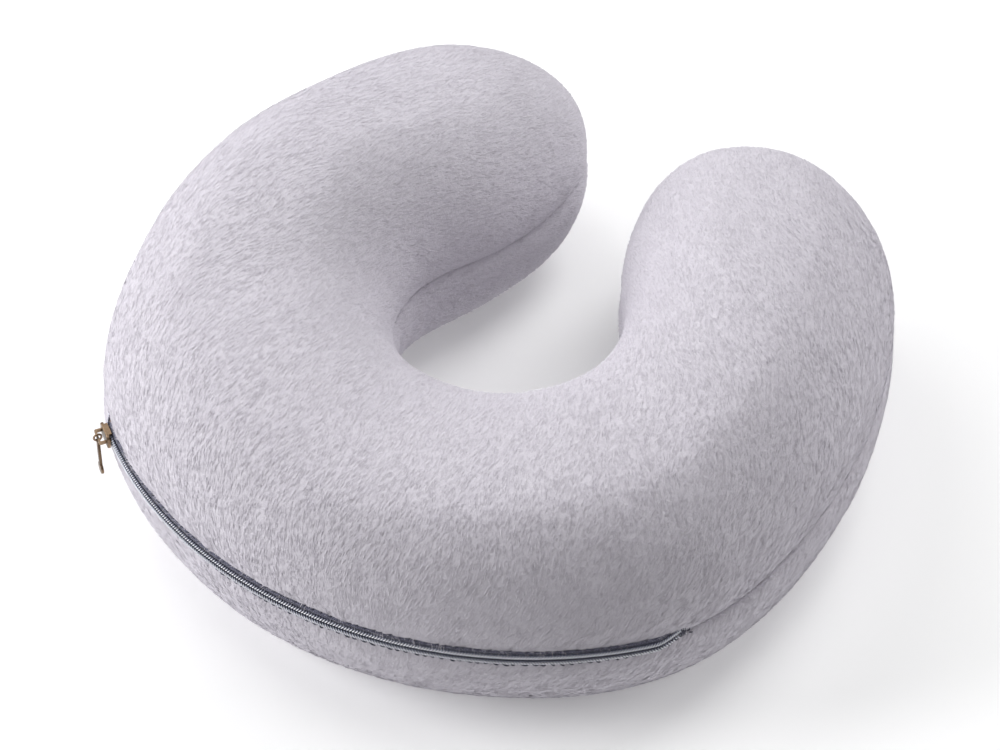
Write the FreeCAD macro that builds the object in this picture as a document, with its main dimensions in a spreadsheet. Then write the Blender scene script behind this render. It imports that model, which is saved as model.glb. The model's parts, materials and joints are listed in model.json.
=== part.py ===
"""A U shaped neck pillow: a moulded foam horseshoe in a plush cover that closes with a coil zip.

Frame: +Z up, the pillow lies flat on Z = 0, the opening of the U points along +Y and the middle
of its back along -Y. X = 0 is the plane of symmetry, and the origin is under the middle of the
pillow's box. All lengths are in millimetres and all angles in degrees.
"""
import FreeCAD, Part
import math
import os
import Sketcher
from FreeCAD import Placement, Rotation, Vector

# Driving dimensions: (alias, value).
DIMENSIONS = [
    # The outline of the U, as tangent arcs from the middle of the back round to the hole.
    ("back_radius", 176.0),
    ("back_sweep", 39.0),
    ("side_radius", 94.0),
    ("side_sweep", 36.0),
    ("arm_radius", 239.0),
    ("arm_sweep", 39.5),
    ("tip_radius", 81.0),
    ("tip_sweep", 61.0),
    ("nose_radius", 43.0),
    ("nose_sweep", 91.0),
    ("throat_radius", 106.0),
    ("throat_sweep", 40.0),
    # Heights of the crown along the U, and the shape of its section.
    ("back_height", 93.0),
    ("shoulder_height", 98.0),
    ("arm_height", 108.0),
    ("tip_height", 93.0),
    ("crown_power", 2.0),
    ("wall_power", 2.7),
    ("base_power", 2.1),
    ("base_flat", 0.44),
    ("base_trim", 0.4),
    ("trim_span", 400.0),
    ("nose_length", 70.0),
    ("nose_power", 2.1),
    # The cover.
    ("cover_thickness", 2.4),
    ("layer_gap", 0.3),
    ("seam_height", 47.0),
    # The zip. Its arc shares the centre of the back's arc.
    ("zip_half_angle", 44),
    ("window_half_height", 5.3),
    ("window_reach", 8.0),
    ("tape_setback", 1.6),
    ("tape_thickness", 0.6),
    ("tape_gap", 0.55),
    ("tape_flat_height", 3.7),
    ("tape_step_height", 5.0),
    ("tape_step", 2.2),
    ("tape_height", 9.0),
    ("tape_lean", 0.6),
    ("coil_width", 1.8),
    ("coil_rise", 1.35),
    ("thread_width", 0.5),
    ("thread_rise", 0.25),
    ("stitch_pitch", 3.5),
    ("stitch_length", 2.4),
    ("stitch_radius", 0.22),
    ("stitch_height", 6.3),
    ("stitch_clearance", 0.1),
    ("tack_count", 3.0),
    ("tack_pitch", 0.8),
    ("tack_length", 6.4),
    ("tack_radius", 0.3),
    ("channel_depth", 7.0),
    ("channel_half_height", 10.0),
    # The slider.
    ("slider_clearance", 0.38),
    ("slider_length", 10.4),
    ("slider_half_width", 3.3),
    ("wing_thickness", 1.1),
    ("lower_wing_thickness", 1.0),
    ("wing_corner", 1.9),
    ("flange_width", 0.65),
    ("post_thickness", 0.5),
    ("post_length", 2.6),
    ("bridge_length", 7.6),
    ("bridge_width", 1.3),
    ("bridge_thickness", 0.8),
    ("bridge_rise", 3.0),
    ("slider_rest_angle", -41),
    # The pull.
    ("eye_inner_radius", 1.15),
    ("eye_wall", 0.8),
    ("eye_width", 0.8),
    ("eye_bevel", 0.2),
    ("pull_length", 20.0),
    ("pull_neck_width", 1.8),
    ("pull_drop_radius", 2.6),
    ("pull_thickness", 1.1),
]

SECTION_POINTS = 5
STATIONS = 20
STATION_CROWDING = 2.2
INNER_LAG = 1.25

doc = FreeCAD.newDocument("neck_pillow")
dims = doc.addObject("Spreadsheet::Sheet", "dims")


def fill_sheet():
    for row, (alias, value) in enumerate(DIMENSIONS, start=1):
        dims.set("A%d" % row, alias)
        dims.set("B%d" % row, str(value))
        dims.setAlias("B%d" % row, alias)
    doc.recompute()


def size(expression):
    """The value of an expression in the sheet's aliases."""
    return float(dims.evalExpression(expression.replace("dims.", "")))


# ---------------------------------------------------------------- the free-form outline and section

def outline_arcs():
    """The right half of the outline as (centre, radius, start heading, sweep), radians.

    Headings start at 0, along +X, at the middle of the back. The last arc turns the other way,
    has a negative radius, and ends on X = 0 at the back of the neck hole.
    """
    names = ("back", "side", "arm", "tip", "nose", "throat")
    point = Vector(0, 0, 0)
    heading = 0.0
    arcs = []
    for name in names:
        radius = size(name + "_radius")
        sweep = math.radians(size(name + "_sweep"))
        centre = point + Vector(-math.sin(heading), math.cos(heading), 0) * radius
        arcs.append((centre, radius, heading, sweep))
        heading += sweep
        point = centre + Vector(math.sin(heading), -math.cos(heading), 0) * radius
    hole_radius = -point.x / math.sin(heading)
    centre = point + Vector(math.sin(heading), -math.cos(heading), 0) * hole_radius
    arcs.append((centre, -hole_radius, heading, math.pi - heading))
    nose_front = arcs[4][0].y + arcs[4][1]
    shift = Vector(0, -nose_front / 2, 0)
    return [(centre + shift, radius, start, sweep) for centre, radius, start, sweep in arcs]


ARC_MIDDLE = 0.5


def sampled(arcs, inset, steps=48):
    """Points along a run of arcs, inset towards the pillow's inside."""
    points = []
    for centre, radius, start, sweep in arcs:
        for step in range(steps + 1):
            angle = start + sweep * step / steps
            points.append(centre + Vector(math.sin(angle), -math.cos(angle), 0) * (radius - inset))
    return points


def part_of_arc(arc, begin, end):
    centre, radius, start, sweep = arc
    return (centre, radius, start + sweep * begin, sweep * (end - begin))


def at_fraction(points, fraction):
    """The point at a fraction of a polyline's length."""
    lengths = [0.0]
    for first, second in zip(points, points[1:]):
        lengths.append(lengths[-1] + (second - first).Length)
    target = fraction * lengths[-1]
    for index in range(1, len(points)):
        if lengths[index] >= target and lengths[index] > lengths[index - 1]:
            part = (target - lengths[index - 1]) / (lengths[index] - lengths[index - 1])
            return points[index - 1] + (points[index] - points[index - 1]) * part
    return points[-1]


def smooth(t):
    return t * t * (3 - 2 * t)


def crown_height(fraction):
    """The height of the crown at a fraction of the way from the back to the nose."""
    knots = [0.0, 0.27, 0.55, 0.85, 1.0]
    heights = [size(n + "_height") for n in ("back", "shoulder", "arm", "tip", "tip")]
    for index in range(len(knots) - 1):
        if fraction <= knots[index + 1]:
            t = (fraction - knots[index]) / (knots[index + 1] - knots[index])
            return heights[index] + (heights[index + 1] - heights[index]) * smooth(t)
    return heights[-1]


def half_stations(inset):
    """(outer point, inner point, crown height, nose factor) from the back towards the nose."""
    arcs = outline_arcs()
    outer_run = arcs[:4] + [part_of_arc(arcs[4], 0, ARC_MIDDLE)]
    inner_run = [part_of_arc(arcs[4], ARC_MIDDLE, 1), arcs[5], arcs[6]]
    outer = sampled(outer_run, inset)
    inner = list(reversed(sampled(inner_run, inset)))
    pairs = []
    for step in range(STATIONS + 1):
        u = 1 - (1 - step / STATIONS) ** STATION_CROWDING
        pairs.append((at_fraction(outer, u), at_fraction(inner, u ** INNER_LAG)))
    middles = [(first + second) * 0.5 for first, second in pairs]
    walked = [0.0]
    for first, second in zip(middles, middles[1:]):
        walked.append(walked[-1] + (second - first).Length)
    nose_length = size("nose_length") - inset
    power = size("nose_power")
    stations = []
    for (first, second), distance in zip(pairs, walked):
        left = walked[-1] - distance
        short = max(0.0, 1 - left / nose_length)
        factor = max(0.0, 1 - short ** power) ** (1 / power)
        stations.append((first, second, crown_height(distance / walked[-1]), factor))
    return stations


def power_of(value, power):
    return math.copysign(abs(value) ** (2 / power), value)


def curve_edge(points, first_tangent, last_tangent):
    """One smooth edge through the points, with its direction given at both ends."""
    count = len(points) - 1
    curve = Part.BSplineCurve()
    curve.interpolate(
        Points=points,
        Parameters=[index / count for index in range(count + 1)],
        InitialTangent=first_tangent,
        FinalTangent=last_tangent,
    )
    return curve.toShape()


def section_edges(station, inset):
    """The edges of the section across the arm: crown, inner wall, base, outer wall and seam line."""
    outer, inner, height, factor = station
    seam = Vector(0, 0, size("seam_height"))
    middle = (outer + inner) * 0.5 + seam
    half = (outer - inner) * 0.5
    rise = Vector(0, 0, (height - inset - size("seam_height")) * factor)
    depth = Vector(0, 0, (size("seam_height + base_trim") - inset) * factor)
    flat = size("base_flat")
    crown = []
    for index in range(2 * SECTION_POINTS + 1):
        angle = 0.5 * math.pi * index / SECTION_POINTS
        across = power_of(math.cos(angle), size("wall_power"))
        up = 0.0 if index == 2 * SECTION_POINTS else power_of(math.sin(angle), size("crown_power"))
        crown.append(middle + half * across + rise * up)
    walls = []
    for side in (-half, half):
        wall = []
        for index in range(SECTION_POINTS + 1):
            angle = 0.5 * math.pi * index / SECTION_POINTS
            across = flat + (1 - flat) * power_of(math.cos(angle), size("base_power"))
            wall.append(middle + side * across - depth * power_of(math.sin(angle), size("base_power")))
        walls.append(wall)
    inner_wall, outer_wall = walls
    outer_wall.reverse()
    up = Vector(0, 0, 1)
    return {
        "crown": curve_edge(crown, up, -up),
        "inner_wall": curve_edge(inner_wall, -up, half),
        "base": Part.makeLine(inner_wall[-1], outer_wall[0]),
        "outer_wall": curve_edge(outer_wall, half, up),
        "seam": Part.makeLine(crown[-1], crown[0]),
        "seam_back": Part.makeLine(crown[0], crown[-1]),
    }


def mirrored(station):
    outer, inner, height, factor = station
    return (
        Vector(-outer.x, outer.y, outer.z),
        Vector(-inner.x, inner.y, inner.z),
        height,
        factor,
    )


WHOLE = ("crown", "inner_wall", "base", "outer_wall")
UPPER_HALF = ("crown", "seam")
LOWER_HALF = ("seam_back", "inner_wall", "base", "outer_wall")


def cushion(inset, edge_names):
    """The horseshoe, or its half over or under the seam, inset from the cover's outer surface.

    The sections reach a little too low, and the flat base is trimmed from them.
    """
    right = half_stations(inset)
    left = [mirrored(station) for station in reversed(right[1:])]
    wires = []
    for station in (left + right)[1:-1]:
        edges = section_edges(station, inset)
        wires.append(Part.Wire([edges[name] for name in edge_names]))
    loft = Part.makeLoft(wires, True, False)
    if "base" not in edge_names:
        return loft
    span = size("trim_span")
    below = Part.makeBox(2 * span, 2 * span, span, Vector(-span, -span, inset - span))
    return loft.cut(below)


# ---------------------------------------------------------------- helpers for bodies and sketches

def zip_centre():
    """The centre of the zip's arc, at the height of the seam."""
    centre = outline_arcs()[0][0]
    return Vector(centre.x, centre.y, size("seam_height"))


def tape_radius():
    """The radius of the tapes' outer face, which the zip's parts are measured from."""
    return size("back_radius - tape_setback")


def zip_placement(angle, flipped=False):
    """The frame at the zip's arc centre: X points out at the angle from -Y, Z up."""
    turn = Rotation(Vector(0, 0, 1), angle - 90)
    if flipped:
        turn = turn * Rotation(Vector(1, 0, 0), 180)
    return Placement(zip_centre(), turn)


def new_body(label, placement):
    body = doc.addObject("PartDesign::Body", label)
    body.Label = label
    body.Placement = placement
    return body


def sketch_on(body, role, name):
    plane = [f for f in body.Origin.OriginFeatures if f.Role == role][0]
    sketch = body.newObject("Sketcher::SketchObject", name)
    sketch.AttachmentSupport = [(plane, "")]
    sketch.MapMode = "FlatFace"
    return sketch


def pin_point(sketch, line, expressions):
    """Ties a line's first point to the sketch's origin by two bound distances."""
    for kind, expression in zip(("DistanceX", "DistanceY"), expressions):
        value = size(expression)
        if value < 0:
            constraint = Sketcher.Constraint(kind, line, 1, -1, 1, -value)
            expression = "-(%s)" % expression
        else:
            constraint = Sketcher.Constraint(kind, -1, 1, line, 1, value)
        index = sketch.addConstraint(constraint)
        sketch.setExpression("Constraints[%d]" % index, expression)


def bound_polygon(sketch, corners):
    """A closed polygon whose corners are (x, y) expressions in the sheet's aliases."""
    places = [Vector(size(x), size(y), 0) for x, y in corners]
    count = len(places)
    for index in range(count):
        sketch.addGeometry(Part.LineSegment(places[index], places[(index + 1) % count]), False)
    for index in range(count):
        sketch.addConstraint(Sketcher.Constraint("Coincident", index, 2, (index + 1) % count, 1))
    for index, corner in enumerate(corners):
        pin_point(sketch, index, corner)
    return sketch


def feature(label, shape):
    """A sub-part whose free-form shape no sketch or primitive makes."""
    item = doc.addObject("Part::Feature", label)
    item.Label = label
    item.Shape = shape
    return item


def ring_sector(inner_radius, outer_radius, half_height, half_angle):
    """A solid sector of a ring round the zip's centre, level with the seam."""
    corners = [
        Vector(inner_radius, 0, -half_height),
        Vector(outer_radius, 0, -half_height),
        Vector(outer_radius, 0, half_height),
        Vector(inner_radius, 0, half_height),
    ]
    profile = Part.Face(Part.makePolygon(corners + corners[:1]))
    solid = profile.revolve(Vector(0, 0, 0), Vector(0, 0, 1), 2 * half_angle)
    solid.Placement = zip_placement(-half_angle)
    return solid


# ---------------------------------------------------------------- foam and cover

def foam_core():
    """The moulded foam, with the shallow channel that the zip presses into it."""
    foam = cushion(size("cover_thickness + layer_gap"), WHOLE)
    channel = ring_sector(
        size("back_radius - channel_depth"),
        size("back_radius + cover_thickness"),
        size("channel_half_height"),
        size("zip_half_angle") + 1.5,
    )
    return feature("foam_core", foam.cut(channel))


def cover_panels():
    """The plush panels over and under the seam, with the zip's window cut from their edges."""
    window = ring_sector(
        size("back_radius - window_reach"),
        size("back_radius + cover_thickness"),
        size("window_half_height"),
        size("zip_half_angle") + 0.5,
    )
    panels = []
    for label, half in (("cover_upper_panel", UPPER_HALF), ("cover_lower_panel", LOWER_HALF)):
        shell = cushion(0, half).cut(cushion(size("cover_thickness"), half))
        panels.append(feature(label, shell.cut(window)))
    return panels


# ---------------------------------------------------------------- the zip's chain

def zip_strip(label, corners, flipped=False):
    """A strip that follows the zip's arc; its section's corners are (radius, height)."""
    body = new_body(label, zip_placement(0, flipped))
    sketch = sketch_on(body, "XZ_Plane", label + "_section")
    bound_polygon(sketch, corners)
    strip = body.newObject("PartDesign::Revolution", label + "_revolution")
    strip.Profile = sketch
    strip.ReferenceAxis = (sketch, ["V_Axis"])
    strip.Midplane = True
    strip.setExpression("Angle", "2 * dims.zip_half_angle")
    return body


TAPE_FACE = "dims.back_radius - dims.tape_setback"


def zip_tape(label, lean, flipped):
    """A woven tape: upright beside the coil, then stepping in behind the fabric that it is sewn to."""
    outline = [
        ("", "dims.tape_gap"),
        ("", "dims.tape_flat_height"),
        (" - dims.tape_step", "dims.tape_step_height"),
        (" - dims.tape_step" + lean, "dims.tape_height"),
    ]
    front = [(TAPE_FACE + offset, height) for offset, height in outline]
    back = [(TAPE_FACE + " - dims.tape_thickness" + offset, height) for offset, height in outline]
    return zip_strip(label, front + back[::-1], flipped)


def zip_coil(label, flipped):
    """The row of coil, as the strip that its loops fill, with a valley for its sewing thread."""
    top = TAPE_FACE + " + dims.coil_rise"
    valley = top + " - dims.thread_rise"
    near = "dims.tape_gap"
    far = "dims.tape_gap + dims.coil_width"
    middle = "dims.tape_gap + dims.coil_width / 2"
    corners = [
        (TAPE_FACE, near),
        (top, near),
        (top, middle + " - dims.thread_width / 2"),
        (valley, middle + " - dims.thread_width / 2"),
        (valley, middle + " + dims.thread_width / 2"),
        (top, middle + " + dims.thread_width / 2"),
        (top, far),
        (TAPE_FACE, far),
    ]
    return zip_strip(label, corners, flipped)


def zip_coil_thread(label, flipped):
    """The chain stitched thread in the coil's valley."""
    top = TAPE_FACE + " + dims.coil_rise"
    valley = top + " - dims.thread_rise"
    middle = "dims.tape_gap + dims.coil_width / 2"
    corners = [
        (valley, middle + " - dims.thread_width / 2"),
        (top, middle + " - dims.thread_width / 2"),
        (top, middle + " + dims.thread_width / 2"),
        (valley, middle + " + dims.thread_width / 2"),
    ]
    return zip_strip(label, corners, flipped)


def zip_stitches(label, height):
    """A row of separate stitches along the fabric's edge beside the zip."""
    radius = size("back_radius + stitch_clearance + stitch_radius")
    pitch = math.degrees(size("stitch_pitch") / radius)
    count = int(2 * size("zip_half_angle") / pitch)
    half = size("stitch_length") / 2
    stitches = []
    for index in range(count):
        stitch = Part.makeCylinder(
            size("stitch_radius"), 2 * half, Vector(radius, -half, height), Vector(0, 1, 0)
        )
        angle = (index - (count - 1) / 2) * pitch
        stitch.Placement = zip_placement(angle).multiply(stitch.Placement)
        stitches.append(stitch)
    return feature(label, Part.makeCompound(stitches))


def zip_tacks(label, side):
    """The thread bars sewn across the chain at one end of the zip."""
    rise = size("coil_rise + tack_radius + 0.05")
    radius = tape_radius() + rise
    half = size("tack_length") / 2
    tacks = []
    for index in range(int(size("tack_count"))):
        back_from_end = size("tack_pitch") * (index + 0.5)
        angle = size("zip_half_angle") - math.degrees(back_from_end / radius)
        bar = Part.makeCylinder(size("tack_radius"), 2 * half, Vector(radius, 0, -half))
        bar.Placement = zip_placement(side * angle)
        tacks.append(bar)
    return feature(label, Part.makeCompound(tacks))


# ---------------------------------------------------------------- the slider and its pull

def pad(body, sketch, name, length, midplane=False):
    item = body.newObject("PartDesign::Pad", name)
    item.Profile = sketch
    item.Midplane = midplane
    item.setExpression("Length", length)
    return item


WING_FOOT = TAPE_FACE + " + dims.coil_rise + dims.slider_clearance"
WING_TOP = WING_FOOT + " + dims.wing_thickness"
LOWER_WING_TOP = TAPE_FACE + " - dims.tape_thickness - dims.slider_clearance"
LOWER_WING_FOOT = LOWER_WING_TOP + " - dims.lower_wing_thickness"


def plate(body, name, y_range, z_range, foot, thickness):
    """A flat block whose y and z ranges, foot and thickness are expressions."""
    outline = sketch_on(body, "YZ_Plane", name + "_outline")
    low_y, high_y = y_range
    low_z, high_z = z_range
    bound_polygon(outline, [(low_y, low_z), (high_y, low_z), (high_y, high_z), (low_y, high_z)])
    outline.setExpression("AttachmentOffset.Base.z", foot)
    return pad(body, outline, name, thickness)


def slider_body():
    """The slider: two wings, flanges that run beside the coil, a thin post and a bridge."""
    body = new_body("slider_body", zip_placement(size("slider_rest_angle")))
    along = ("-dims.slider_length / 2", "dims.slider_length / 2")
    across = ("-dims.slider_half_width", "dims.slider_half_width")
    plate(body, "upper_wing", along, across, WING_FOOT, "dims.wing_thickness")

    short_along = ("-dims.slider_length / 2 + dims.wing_corner + 0.2",
                   "dims.slider_length / 2 - dims.wing_corner - 0.2")
    flange_foot = TAPE_FACE + " + dims.slider_clearance"
    flange_height = "dims.coil_rise + 0.2"
    inner_edge = "dims.slider_half_width - dims.flange_width"
    plate(body, "flange_above", short_along, (inner_edge, across[1]), flange_foot, flange_height)
    below = (across[0], "-(%s)" % inner_edge)
    plate(body, "flange_below", short_along, below, flange_foot, flange_height)

    post_end = "dims.slider_length / 2 - dims.wing_corner / 2"
    post_along = (post_end + " - dims.post_length", post_end)
    post_across = ("-dims.post_thickness / 2", "dims.post_thickness / 2")
    post_height = "dims.coil_rise + dims.tape_thickness + 2 * dims.slider_clearance + 0.4"
    plate(body, "post", post_along, post_across, LOWER_WING_TOP + " - 0.2", post_height)
    plate(body, "lower_wing", along, across, LOWER_WING_FOOT, "dims.lower_wing_thickness")

    bridge = sketch_on(body, "XY_Plane", "bridge_outline")
    reach = "dims.bridge_length / 2"
    inner_reach = "dims.bridge_length / 2 - dims.bridge_thickness"
    bar_top = WING_TOP + " + dims.bridge_rise"
    bar_foot = bar_top + " - dims.bridge_thickness"
    root = WING_TOP + " - 0.2"
    bound_polygon(bridge, [
        (root, reach),
        (bar_top, reach),
        (bar_top, "-(%s)" % reach),
        (root, "-(%s)" % reach),
        (root, "-(%s)" % inner_reach),
        (bar_foot, "-(%s)" % inner_reach),
        (bar_foot, inner_reach),
        (root, inner_reach),
    ])
    pad(body, bridge, "bridge", "dims.bridge_width", midplane=True)
    doc.recompute()

    ends = size("slider_length") / 2
    half = size("slider_half_width")
    round_edges(body, "wing_corners", "dims.wing_corner", lambda middle: (
        abs(abs(middle.y) - ends) < 0.01 and abs(abs(middle.z) - half) < 0.01))
    bridge_end = size("bridge_length") / 2
    top = size(bar_top)
    round_edges(body, "bridge_bends", "dims.bridge_thickness - 0.1", lambda middle: (
        abs(abs(middle.y) - bridge_end) < 0.01 and abs(middle.x - top) < 0.01))
    wing_top = size(WING_TOP)
    round_edges(body, "wing_rim", "dims.wing_thickness / 3", lambda middle: (
        abs(middle.x - wing_top) < 0.01
        and (abs(abs(middle.z) - half) < 0.01 or abs(abs(middle.y) - ends) < 0.01)))
    return body


def round_edges(body, name, radius, chosen):
    """Fillets the edges of the body's tip whose middles the test chooses."""
    tip = body.Tip
    edges = ["Edge%d" % index for index, edge in enumerate(tip.Shape.Edges, start=1)
             if chosen(edge.CenterOfMass)]
    rounding = body.newObject("PartDesign::Fillet", name)
    rounding.Base = (tip, edges)
    rounding.setExpression("Radius", radius)
    doc.recompute()


def pull_tab():
    """The pull: an eye round the bridge's bar, a narrow neck and a drop shaped blade."""
    bar_centre = size(WING_TOP + " + dims.bridge_rise - dims.bridge_thickness / 2")
    placement = zip_placement(size("slider_rest_angle"))
    placement.Base = placement.multVec(Vector(bar_centre, 0, 0))
    body = new_body("pull_tab", placement)

    eye = sketch_on(body, "XY_Plane", "eye_section")
    inner = "dims.eye_inner_radius"
    outer = inner + " + dims.eye_wall"
    side = "dims.eye_width / 2"
    bevel = "dims.eye_bevel"
    bound_polygon(eye, [
        (inner, "-(%s) + %s" % (side, bevel)),
        ("%s + %s" % (inner, bevel), "-(%s)" % side),
        ("%s - %s" % (outer, bevel), "-(%s)" % side),
        (outer, "-(%s) + %s" % (side, bevel)),
        (outer, "%s - %s" % (side, bevel)),
        ("%s - %s" % (outer, bevel), side),
        ("%s + %s" % (inner, bevel), side),
        (inner, "%s - %s" % (side, bevel)),
    ])
    ring = body.newObject("PartDesign::Revolution", "eye")
    ring.Profile = eye
    ring.ReferenceAxis = (eye, ["V_Axis"])
    ring.Angle = 360

    blade = sketch_on(body, "YZ_Plane", "blade_outline")
    neck = size("pull_neck_width") / 2
    drop = size("pull_drop_radius")
    top = -size("eye_inner_radius + eye_wall / 2")
    low = -size("pull_length") + drop
    touch = math.asin(neck / drop)
    waist = low + drop * math.cos(touch)
    arc = Part.Arc(
        Vector(-neck, waist, 0), Vector(0, low - drop, 0), Vector(neck, waist, 0)
    )
    blade.addGeometry(Part.LineSegment(Vector(neck, waist, 0), Vector(neck, top, 0)), False)
    blade.addGeometry(Part.LineSegment(Vector(neck, top, 0), Vector(-neck, top, 0)), False)
    blade.addGeometry(Part.LineSegment(Vector(-neck, top, 0), Vector(-neck, waist, 0)), False)
    blade.addGeometry(arc, False)
    for first, second in ((0, 1), (1, 2)):
        blade.addConstraint(Sketcher.Constraint("Coincident", first, 2, second, 1))
    pad(body, blade, "blade", "dims.pull_thickness", midplane=True)
    doc.recompute()
    face = size("pull_thickness") / 2
    round_edges(body, "blade_rim", "dims.pull_thickness / 4", lambda middle: (
        middle.z < waist and abs(abs(middle.x) - face) < 0.01))
    return body


# ---------------------------------------------------------------- build, check and write

def build():
    fill_sheet()
    parts = [foam_core()] + cover_panels()
    parts.append(zip_tape("zip_tape_upper", " - dims.tape_lean", False))
    parts.append(zip_tape("zip_tape_lower", "", True))
    parts.append(zip_coil("zip_coil_upper", False))
    parts.append(zip_coil("zip_coil_lower", True))
    parts.append(zip_coil_thread("zip_coil_thread_upper", False))
    parts.append(zip_coil_thread("zip_coil_thread_lower", True))
    height = size("stitch_height")
    parts.append(zip_stitches("zip_stitch_upper", height))
    parts.append(zip_stitches("zip_stitch_lower", -height))
    parts.append(zip_tacks("zip_tack_left", -1))
    parts.append(zip_tacks("zip_tack_right", 1))
    parts.append(slider_body())
    parts.append(pull_tab())
    doc.recompute()
    return parts


def check(parts):
    for item in doc.Objects:
        if "Invalid" in item.State or "Error" in item.State:
            raise RuntimeError("%s did not compute: %s" % (item.Label, item.State))
    for part in parts:
        if part.Shape.isNull() or not part.Shape.isValid():
            raise RuntimeError("%s has no valid shape" % part.Label)


def write(parts):
    os.makedirs("parts", exist_ok=True)
    for part in parts:
        part.Shape.exportStep("parts/%s.step" % part.Label)
        box = part.Shape.BoundBox
        print("%-22s %3d solids %10.1f mm3  x %7.2f %7.2f  y %7.2f %7.2f  z %6.2f %6.2f" % (
            part.Label, len(part.Shape.Solids), part.Shape.Volume,
            box.XMin, box.XMax, box.YMin, box.YMax, box.ZMin, box.ZMax))


sub_parts = build()
check(sub_parts)
write(sub_parts)
print("zip centre", zip_centre(), "tape radius", tape_radius())
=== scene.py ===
"""The looks of the U shaped neck pillow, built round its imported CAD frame. Everything is in metres."""
import bmesh
import bpy
import json
import math
import numpy as np
from mathutils import Matrix, Vector, noise
from mathutils.bvhtree import BVHTree
from mathutils.kdtree import KDTree


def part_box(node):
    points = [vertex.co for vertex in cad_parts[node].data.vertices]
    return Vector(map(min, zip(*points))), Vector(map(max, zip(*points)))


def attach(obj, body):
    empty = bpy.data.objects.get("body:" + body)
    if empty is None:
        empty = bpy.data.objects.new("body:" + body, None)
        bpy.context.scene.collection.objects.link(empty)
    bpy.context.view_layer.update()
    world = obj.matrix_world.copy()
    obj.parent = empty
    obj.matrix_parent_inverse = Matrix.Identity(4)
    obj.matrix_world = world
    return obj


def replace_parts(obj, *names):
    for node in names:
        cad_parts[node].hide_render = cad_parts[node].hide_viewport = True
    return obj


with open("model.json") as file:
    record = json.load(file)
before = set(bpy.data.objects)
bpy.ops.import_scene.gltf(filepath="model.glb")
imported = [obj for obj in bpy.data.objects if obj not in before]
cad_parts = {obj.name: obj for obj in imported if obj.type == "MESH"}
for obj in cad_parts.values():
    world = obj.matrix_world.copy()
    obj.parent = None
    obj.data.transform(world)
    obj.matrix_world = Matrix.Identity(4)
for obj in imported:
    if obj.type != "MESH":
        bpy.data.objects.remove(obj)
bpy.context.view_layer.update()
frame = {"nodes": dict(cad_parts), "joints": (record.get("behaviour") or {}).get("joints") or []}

MM = 0.001
joints = {joint["name"]: joint for joint in frame["joints"]}
ZIP_CENTRE = Vector(joints["slider_travel"]["pos_m"])
SEAM = ZIP_CENTRE.z
BACK_RADIUS = ZIP_CENTRE.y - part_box("cover_lower_panel")[0].y
TAPE_FACE = BACK_RADIUS - 1.6 * MM

# The zip, measured from its arc: angles run from the middle of the back, positive to the right.
CHAIN_START = math.radians(-45.5)
CHAIN_END = math.radians(47.6)
DIVE_ANGLE = math.radians(4.5)
DIVE_DEPTH = 3.6 * MM
OPEN_ABOVE = 2.6 * MM
OPEN_BELOW = 2.7 * MM
OPEN_REACH = 14 * MM
EDGE_SINK = 0.15 * MM
OPEN_FADE = math.radians(5.0)

# The cover's skin.
VOXEL = 4 * MM
START_INSET = 1.4 * MM
MOST_SWELL = 2.8 * MM
CLOTH_FRAMES = 20
CLOTH_MASS = 0.1
CLOTH_STIFFNESS = 4
CLOTH_BENDING = 0.1
CLOTH_PRESSURE = 1500
PIN_BAND = 2.6 * MM
HOLE_CENTRE = Vector((0, 12 * MM, 0))


# ---------------------------------------------------------------- numbers and arrays

def coordinates(mesh):
    values = np.empty(len(mesh.vertices) * 3)
    mesh.vertices.foreach_get("co", values)
    return values.reshape(-1, 3)


def set_coordinates(mesh, values):
    mesh.vertices.foreach_set("co", values.reshape(-1).astype(np.float32))
    mesh.update()


def vertex_normals(mesh):
    values = np.empty(len(mesh.vertices) * 3)
    mesh.vertex_normals.foreach_get("vector", values)
    return values.reshape(-1, 3)


def smoothstep(t):
    t = np.clip(t, 0.0, 1.0)
    return t * t * (3 - 2 * t)


def unit(vectors):
    return vectors / np.maximum(np.linalg.norm(vectors, axis=-1, keepdims=True), 1e-12)


def noise_at(points, scale, seed=0.0):
    """Smooth noise from about -1 to 1 at each point; scale is the size of its lumps in metres."""
    offset = Vector((seed * 7.31, seed * 3.17, seed * 5.77))
    return np.array([noise.noise(Vector(point) / scale + offset) for point in points])


def polar(points):
    """The angle and radius of points about the zip's centre."""
    x = points[:, 0] - ZIP_CENTRE.x
    y = points[:, 1] - ZIP_CENTRE.y
    return np.arctan2(x, -y), np.hypot(x, y)


def new_object(name, mesh, material, body="pillow"):
    piece = bpy.data.objects.new(name, mesh)
    bpy.context.scene.collection.objects.link(piece)
    mesh.materials.clear()
    mesh.materials.append(material)
    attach(piece, body)
    return piece


def evaluated_mesh(piece):
    graph = bpy.context.evaluated_depsgraph_get()
    return bpy.data.meshes.new_from_object(piece.evaluated_get(graph))


def mesh_from(name, vertices, faces, smooth=True):
    mesh = bpy.data.meshes.new(name)
    mesh.from_pydata([tuple(v) for v in vertices], [], faces)
    mesh.polygons.foreach_set("use_smooth", [smooth] * len(mesh.polygons))
    mesh.update()
    return mesh


# ---------------------------------------------------------------- materials

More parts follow.
